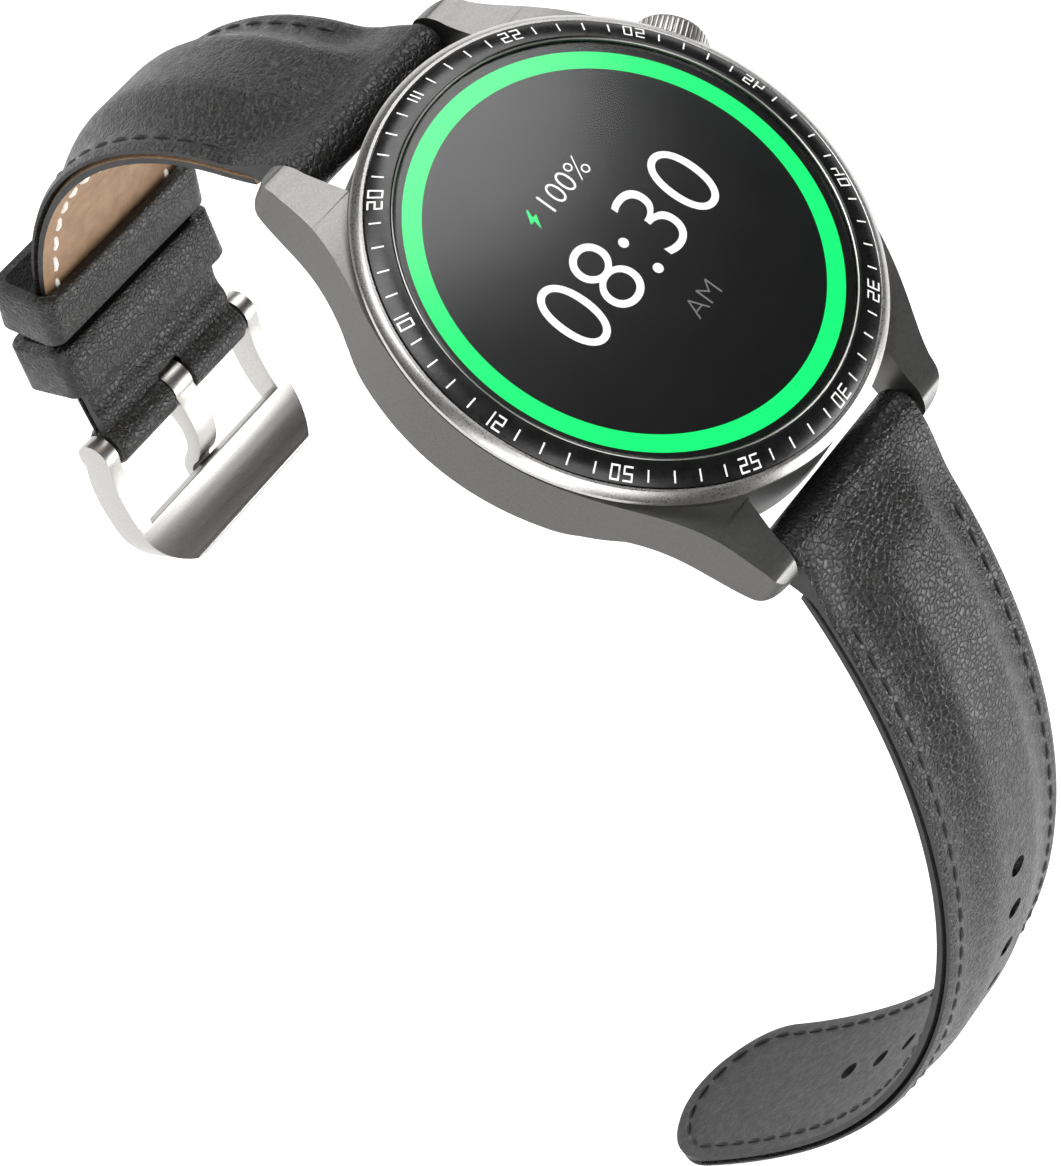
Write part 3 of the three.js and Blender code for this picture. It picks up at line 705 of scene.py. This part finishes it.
def from_roll(distance):
    """0 where the leather leaves the roll round the spring bar, 1 where it is a flat band."""
    return step_up((distance - 0.4) / 8.0)


def half_width(strap, distance):
    if strap is BUCKLE_STRAP:
        return STRAP_WIDTH / 2
    length = strap_length(strap)
    half = TAIL_WIDTH / 2 + 0.1 - 0.25 * distance / length
    into_tip = max(0.0, (distance - (length - TIP_LENGTH)) / TIP_LENGTH)
    return max(0.4, half * math.sqrt(max(0.0, 1 - min(1.0, into_tip) ** 2)))


def stations(start, end, step=1.0, rounded_tip=False):
    count = max(2, round((end - start) / step))
    places = [start + (end - start) * i / count for i in range(count + 1)]
    if rounded_tip:
        straight = [s for s in places if s < end - TIP_LENGTH]
        tip = [end - TIP_LENGTH + TIP_LENGTH * math.sin(math.pi / 2 * i / 18) for i in range(19)]
        places = straight + tip
    return places


def outer_leather(strap, name, node, body):
    length = strap_length(strap)
    is_tail = strap is TAIL_STRAP
    sections = []
    for s in stations(0.4, length, 0.8, is_tail):
        half = half_width(strap, s)
        top = padded_top(strap, s, half)
        away = step_up((s - 0.4) / 5.5)
        under = 0.05 * away - ROLL_TOP * (1 - away)
        sections.append(band_section(strap, s, half, lambda x: under, top))
    mesh = loft(sections, "black_leather", "edge_paint")
    bar_hole = rod(BAR_HOLE_RADIUS, -15, 15, strap["side"] * BAR_Y, BAR_Z, 32)
    mesh = carve(mesh, [("DIFFERENCE", bar_hole)])
    if is_tail:
        mesh = punch(mesh)
    else:
        mesh = carve(mesh, [("DIFFERENCE", buckle_slot())])
        smooth(mesh, 50.0)
    return make(name, mesh, "black_leather", body, [node])


def lining(strap, name, node, body, look, end):
    is_tail = strap is TAIL_STRAP
    sections = []
    for s in stations(4.6, end, 1.0, is_tail):
        half = half_width(strap, s) - 0.02
        sections.append(band_section(strap, s, half, lambda x: -1.0, lambda x: -0.02, 0.25))
    mesh = loft(sections, look, "edge_paint")
    if is_tail:
        mesh = punch(mesh)
    return make(name, mesh, look, body, [node])


def punch(mesh):
    """Cuts the row of buckle holes through a leather."""
    steps = []
    for i in range(HOLE_COUNT):
        distance = FIRST_HOLE_AT + i * HOLE_PITCH
        cutter = prism(circle(HOLE_RADIUS, 40), -4, 5, upright)
        cutter.transform(strap_matrix(TAIL_STRAP, distance))
        steps.append(("DIFFERENCE", cutter))
    return smooth(carve(mesh, steps), 50.0)


def strap_matrix(strap, distance):
    """Local x across, y along and z out of a strap, at a distance along it."""
    y, z, heading = strap_point(strap, distance)
    along = Vector((0, math.cos(heading), math.sin(heading)))
    out = Vector((0, -math.sin(heading), math.cos(heading))) * strap["side"]
    side = along.cross(out)
    matrix = Matrix((side, along, out)).transposed().to_4x4()
    matrix.translation = Vector((0, y * MM, z * MM))
    return matrix


def leather_roll(name, y, z, width, body, slotted=False):
    """The leather wrapped round a bar: a soft hollow tube with slightly pinched ends."""
    sections = []
    count = 40
    for i in range(count + 1):
        x = width * (i / count - 0.5)
        end = min(1.0, (width / 2 - abs(x)) / 0.5)
        radius = ROLL_RADIUS - 0.25 * (1 - math.sqrt(max(0.0, 1 - (1 - end) ** 2)))
        sections.append([Vector((x * MM, p * MM, q * MM)) for p, q in circle(radius, 48, (y, z))])
    mesh = loft(sections, "black_leather")
    steps = [("DIFFERENCE", rod(1.2, -15, 15, y, z, 32))]
    if slotted:
        steps.append(("DIFFERENCE", buckle_slot()))
    mesh = smooth(carve(mesh, steps), 50.0)
    return make(name, mesh, "black_leather", body)


def stitch_path(strap, start, end, inset, rounded_tip):
    """Points (x, distance) down one side, round the tip if there is one, and back."""
    path = []
    straight_end = end - 9.5 if rounded_tip else end
    for s in stations(start, straight_end, 0.5):
        path.append((-(half_width(strap, s) - inset), s))
    if rounded_tip:
        half = half_width(strap, straight_end) - inset
        for i in range(1, 60):
            angle = math.pi * i / 60
            path.append((-half * math.cos(angle), straight_end + (9.5 - inset) * math.sin(angle)))
        for s in reversed(stations(start, straight_end, 0.5)):
            path.append((half_width(strap, s) - inset, s))
    return path


def add_stitch(maker, a, b, normal, radius_mm):
    """A short thread between two points, its ends dipping into the leather."""
    axis = b - a
    side = axis.normalized().cross(normal)
    rings = []
    thread = ((0, -0.9, 0.55), (0.12, 0.0, 0.9), (0.5, 0.45, 1.0), (0.88, 0.0, 0.9), (1, -0.9, 0.55))
    for t, lift, scale in thread:
        centre = a + axis * t + normal * (lift * radius_mm * MM)
        ring = []
        for i in range(8):
            angle = 2 * math.pi * i / 8
            spoke = side * math.cos(angle) + normal * math.sin(angle)
            ring.append(maker.verts.new(centre + spoke * (radius_mm * scale * MM)))
        rings.append(ring)
    for here, there in zip(rings, rings[1:]):
        for i in range(8):
            j = (i + 1) % 8
            maker.faces.new([here[i], here[j], there[j], there[i]])
    maker.faces.new(rings[0])
    maker.faces.new(list(reversed(rings[-1])))


def stitches(name, strap, paths, height, outward, pitch, long_mm, radius_mm, look, body):
    """Threads laid along paths at a given height of the strap."""
    maker = bmesh.new()
    for path in paths:
        travelled = 0.0
        next_at = pitch / 2
        for (x0, s0), (x1, s1) in zip(path, path[1:]):
            piece = math.hypot(x1 - x0, s1 - s0)
            while piece > 0 and travelled + piece >= next_at:
                t = (next_at - travelled) / piece
                x = x0 + (x1 - x0) * t
                s = s0 + (s1 - s0) * t
                ux = (x1 - x0) / piece * long_mm / 2
                us = (s1 - s0) / piece * long_mm / 2
                a = on_strap(strap, s - us, x - ux, height(s, x))
                b = on_strap(strap, s + us, x + ux, height(s, x))
                normal = on_strap(strap, s, x, 1) - on_strap(strap, s, x, 0)
                add_stitch(maker, a, b, normal.normalized() * outward, radius_mm)
                next_at += pitch
            travelled += piece
    mesh = finished(maker, 60.0)
    make(name, mesh, look, body)


def both_sides(path):
    return [path, [(-x, s) for x, s in path]]


def straps():
    outer_leather(BUCKLE_STRAP, "buckle_strap_top", "buckle_strap_outer", "buckle_strap")
    outer_leather(TAIL_STRAP, "tail_strap_top", "tail_strap_outer", "tail_strap")
    lining(BUCKLE_STRAP, "buckle_strap_back", "buckle_strap_lining", "buckle_strap", "tan_leather",
           LINING_END)
    lining(TAIL_STRAP, "tail_strap_back", "tail_strap_lining", "tail_strap", "grey_leather",
           strap_length(TAIL_STRAP))
    leather_roll("buckle_strap_roll", BAR_Y, BAR_Z, STRAP_WIDTH, "buckle_strap")
    leather_roll("tail_strap_roll", -BAR_Y, BAR_Z, TAIL_WIDTH + 0.2, "tail_strap")
    y, z = buckle_bar_place()
    leather_roll("buckle_end_roll", y, z, STRAP_WIDTH, "buckle_strap", slotted=True)
    flap()

    def top(strap):
        return lambda s, x: padded_top(strap, s, half_width(strap, s))(x) + 0.02

    def back(s, x):
        return -1.02

    tail_path = stitch_path(TAIL_STRAP, 9, strap_length(TAIL_STRAP), STITCH_INSET, True)
    buckle_path = stitch_path(BUCKLE_STRAP, 9, 66, STITCH_INSET, False)
    back_path = stitch_path(BUCKLE_STRAP, 7, LINING_END - 1, STITCH_INSET, False)
    stitches("tail_stitches", TAIL_STRAP, [tail_path], top(TAIL_STRAP), 1, 3.0, 2.4, 0.24,
             "black_thread", "tail_strap")
    stitches("tail_back_stitches", TAIL_STRAP, [tail_path], back, -1, 3.0, 2.4, 0.24,
             "black_thread", "tail_strap")
    stitches("buckle_strap_stitches", BUCKLE_STRAP, both_sides(buckle_path), top(BUCKLE_STRAP), 1,
             3.0, 2.4, 0.24, "black_thread", "buckle_strap")
    stitches("buckle_strap_back_stitches", BUCKLE_STRAP, both_sides(back_path), back, -1,
             3.3, 2.3, 0.26, "white_thread", "buckle_strap")


def flap():
    """The end of the black leather, folded back over the buckle bar and pressed into ridges."""
    total = strap_length(BUCKLE_STRAP)

    def low(s):
        ridges = 0.42 * sum(math.exp(-(((s - at) / 1.1) ** 2)) for at in (57.6, 64.6, 68.6))
        return lambda x: -1.15 - ridges

    sections = []
    for s in stations(LINING_END - 1.5, total - 0.5, 0.5):
        edge = step_up((s - LINING_END + 1.5) / 1.2)
        bottom = low(s)
        sections.append(band_section(BUCKLE_STRAP, s, STRAP_WIDTH / 2 - 0.05,
                                     lambda x: bottom(x) * (0.85 + 0.15 * edge), lambda x: -0.02, 0.3))
    mesh = loft(sections, "black_leather", "edge_paint")
    mesh = smooth(carve(mesh, [("DIFFERENCE", buckle_slot())]), 50.0)
    make("buckle_strap_flap", mesh, "black_leather", "buckle_strap")


def buckle_slot():
    y, z = buckle_bar_place()
    return rod(3, -1.75, 1.75, y, z)


def rounded_loop(left, right, low, high, radius, count=8):
    points = []
    corners = ((right, low, -90), (right, high, 0), (left, high, 90), (left, low, 180))
    for x, z, start in corners:
        cx = x - radius if x == right else x + radius
        cz = z + radius if z == low else z - radius
        for i in range(count + 1):
            angle = math.radians(start + 90 * i / count)
            points.append((cx + radius * math.cos(angle), cz + radius * math.sin(angle)))
    return points


def keeper(name, node, at, body):
    """A loop of folded leather with rounded edges."""
    outer = rounded_loop(-12.35, 12.35, -2.75, 5.05, 1.6)
    inner = rounded_loop(-11.2, 11.2, -1.65, 3.95, 0.9)
    maker = bmesh.new()
    half = KEEPER_LENGTH / 2
    rim = 0.3
    rings = []
    for points, places in ((outer, (-half + rim, half - rim)), (inner, (half, -half))):
        for along in places:
            rings.append([maker.verts.new((x * MM, along * MM, z * MM)) for x, z in points])
    middle = rounded_loop(-12.1, 12.1, -2.5, 4.8, 1.4)
    far = [maker.verts.new((x * MM, half * MM, z * MM)) for x, z in middle]
    near = [maker.verts.new((x * MM, -half * MM, z * MM)) for x, z in middle]
    loops = [rings[0], rings[1], far, rings[2], rings[3], near]
    count = len(outer)
    for index, here in enumerate(loops):
        there = loops[(index + 1) % len(loops)]
        for i in range(count):
            j = (i + 1) % count
            maker.faces.new([here[i], here[j], there[j], there[i]])
    mesh = finished(maker, 45.0)
    mesh.transform(strap_matrix(BUCKLE_STRAP, at))
    make(name, mesh, "black_leather", body, [node])


# ---------- buckle ----------
def buckle_bar_place():
    """The Y and Z of the bar at the end of the buckle half."""
    place = strap_point(BUCKLE_STRAP, strap_length(BUCKLE_STRAP))
    return place[0], place[1]


def buckle_points(points):
    """Outline points drawn round the buckle bar, placed in the YZ plane."""
    y, z = buckle_bar_place()
    turn = math.radians(BUCKLE_HEADING)
    placed = []
    for along, out in points:
        placed.append((y + along * math.cos(turn) - out * math.sin(turn),
                       z + along * math.sin(turn) + out * math.cos(turn)))
    return placed


def buckle_plan():
    """The frame seen from outside, as a solid cutter with rounded corners."""
    y, z = buckle_bar_place()
    turn = math.radians(BUCKLE_HEADING)
    along = Vector((0, math.cos(turn), math.sin(turn)))
    out = Vector((0, -math.sin(turn), math.cos(turn)))
    half = BUCKLE_HALF_WIDTH
    corner = BUCKLE_CORNER_WIDTH
    outline = [(-half, -4), (half, -4)]
    for side, start in ((1, 0), (-1, 90)):
        for i in range(13):
            angle = math.radians(start + 90 * i / 12)
            across_band = side * (half - corner) + corner * math.cos(angle)
            outline.append((across_band, BUCKLE_CORNER_START + BUCKLE_CORNER_LENGTH * math.sin(angle)))

    def place(a, b, c):
        return Vector((a * MM, y * MM, z * MM)) + along * (b * MM) + out * (c * MM)
    return prism(outline, -8, 8, place)


def buckle():
    half = BUCKLE_HALF_WIDTH
    inner = half - ARM_THICKNESS
    lobe = []
    for i in range(25):
        angle = math.radians(65 + 230 * i / 24)
        lobe.append((LOBE_RADIUS * math.cos(angle), LOBE_RADIUS * math.sin(angle)))
    side = lobe + bezier(10, (0.82, -1.77), (3.5, -0.5), (7, -0.4), (9.8, -0.7))[1:]
    side += bezier(12, (9.8, -0.7), (12, -0.9), (13.8, -1.8), (15.0, -2.9))[1:]
    side += bezier(4, (15.0, -2.9), (15.2, -3.05), (15.5, -2.8), (15.6, -2.5))[1:]
    side += bezier(12, (15.6, -2.5), (16.1, -0.8), (14.9, 1.5), (12.3, 2.3))[1:]
    side += bezier(14, (12.3, 2.3), (8.4, 3.9), (3.6, 3.3), (0.82, 1.77))[1:-1]
    opening = [(-6, -7), (9.6, -7), (9.6, 0.3), (11.6, 3.6), (11.6, 7), (-6, 7)]
    seat = [(9.2, 0.1), (10.3, 1.7), (11.2, 1.95), (13.7, 1.15), (15, 7), (9.2, 7)]
    y, z = buckle_bar_place()
    mesh = carve(prism(buckle_points(side), -half, half, across), [
        ("INTERSECT", buckle_plan()),
        ("DIFFERENCE", prism(buckle_points(opening), -inner, inner, across)),
        ("DIFFERENCE", prism(buckle_points(seat), -1.9, 1.9, across)),
        ("DIFFERENCE", rod(1.1, -12.1, 12.1, y, z)),
    ])
    make("buckle_body", beveled(mesh, 0.32, 3, 35.0), "gunmetal", "buckle", ["buckle_frame"])
    bar = beveled(rod(0.95, -12, 12, y, z), 0.15, 2)
    make("buckle_pin", bar, "steel", "buckle", ["buckle_bar"])
    shape = bezier(12, (0.8, -1.75), (4.5, -2.6), (7.6, -1.4), (9.4, 0.7))
    shape += bezier(8, (9.4, 0.7), (10.0, 1.9), (10.4, 2.4), (11.2, 2.35))[1:]
    shape += [(13.0, 1.85), (13.5, 2.3), (13.1, 3.0)]
    shape += bezier(8, (13.1, 3.0), (10.8, 4.0), (9.6, 3.2), (8.6, 2.0))[1:]
    shape += bezier(12, (8.6, 2.0), (7.0, 0.2), (4.6, -0.4), (1.2, 1.5))[1:]
    tongue = carve(prism(buckle_points(shape), -TONGUE_HALF_WIDTH, TONGUE_HALF_WIDTH, across), [
        ("UNION", rod(2.0, -TONGUE_HALF_WIDTH, TONGUE_HALF_WIDTH, y, z)),
        ("DIFFERENCE", rod(1.15, -3, 3, y, z)),
    ])
    make("tongue_body", beveled(tongue, 0.35, 3, 35.0), "gunmetal", "tongue", ["buckle_tongue"])


# ---------- carried-over CAD pieces ----------
def paint_cad_nodes():
    """Gives every CAD piece its detailed finish and softens its edges."""
    slots = {part["node"]: part["material_slot"] for part in frame["record"]["subparts"]}
    for node, piece in frame["nodes"].items():
        piece.data.materials.clear()
        piece.data.materials.append(LOOKS[slots[node]])
        piece.data.shade_smooth()
        piece.data.set_sharp_from_angle(angle=math.radians(30))
        edge = piece.modifiers.new("edge", "BEVEL")
        edge.width = 0.06 * MM
        edge.segments = 2
        edge.limit_method = "ANGLE"
        edge.angle_limit = math.radians(40)


# ---------- studio ----------
def studio():
    size = 4.0
    maker = bmesh.new()
    low = CAD_BOX[0][2] - 0.004
    corners = [maker.verts.new((x * size, y * size, low)) for x, y in ((-1, -1), (1, -1), (1, 1), (-1, 1))]
    maker.faces.new(corners)
    mesh = bpy.data.meshes.new("floor")
    maker.to_mesh(mesh)
    maker.free()
    floor = bpy.data.objects.new("floor", mesh)
    paint = Finish("floor_paint", (0.92, 0.92, 0.92), 0.9)
    paint.set(Emission_Color=(1, 1, 1, 1), Emission_Strength=0.4)
    paint.vary_roughness(paint.noise(40.0), 0.03)
    mesh.materials.append(paint.material)
    bpy.context.scene.collection.objects.link(floor)
    sky(0.42, 0.3)
    bpy.context.scene.view_settings.view_transform = "Standard"
    area_light("key", (-0.25, 0.6, 0.75), 0.7, 6.0)
    area_light("window", (0.52, 0.54, 0.75), 0.78, 7.0)
    area_light("low_side", (-0.75, -0.2, 0.3), 0.5, 3.0)
    area_light("fill", (-0.6, -0.5, 0.9), 0.8, 5.0)
    area_light("buckle_side", (0.36, -0.6, 0.12), 0.45, 3.5)


def sky(overhead, horizon):
    """A soft studio surround, brighter overhead than at the horizon."""
    world = bpy.data.worlds.new("studio")
    world.use_nodes = True
    nodes = world.node_tree.nodes
    links = world.node_tree.links
    place = nodes.new("ShaderNodeTexCoord")
    split = nodes.new("ShaderNodeSeparateXYZ")
    links.new(place.outputs["Generated"], split.inputs["Vector"])
    fade = nodes.new("ShaderNodeMapRange")
    for name, value in (("From Min", 0.0), ("From Max", 0.9), ("To Min", horizon), ("To Max", overhead)):
        fade.inputs[name].default_value = value
    links.new(split.outputs["Z"], fade.inputs["Value"])
    links.new(fade.outputs["Result"], nodes["Background"].inputs["Strength"])
    bpy.context.scene.world = world


def area_light(name, place, size, power):
    light = bpy.data.lights.new(name, "AREA")
    light.shape = "DISK"
    light.size = size
    light.energy = power
    lamp = bpy.data.objects.new(name, light)
    lamp.location = place
    lamp.rotation_mode = "QUATERNION"
    lamp.rotation_quaternion = (-Vector(place)).to_track_quat("-Z", "Y")
    bpy.context.scene.collection.objects.link(lamp)


def camera():
    lens = bpy.data.cameras.new("camera")
    lens.sensor_width = 36
    lens.sensor_fit = "AUTO"
    lens.lens = 124.14
    lens.clip_start = 0.01
    eye = bpy.data.objects.new("camera", lens)
    right = Vector((0.55306, -0.78810, 0.27024))
    up = Vector((0.65772, 0.61210, 0.43903))
    back = Vector((-0.51141, -0.06507, 0.85687))
    pose = Matrix((right, up, back)).transposed().to_4x4()
    pose.translation = Vector((-0.202648, -0.034007, 0.295692))
    eye.matrix_world = pose
    bpy.context.scene.collection.objects.link(eye)
    bpy.context.scene.camera = eye


paint_cad_nodes()
mid_case()
bezel()
bezel_marks()
screen()
crown()
straps()
keeper("fixed_loop", "fixed_keeper", FIXED_KEEPER_AT, "buckle_strap")
keeper("free_loop", "free_keeper", FREE_KEEPER_AT, "free_keeper")
buckle()
studio()
camera()
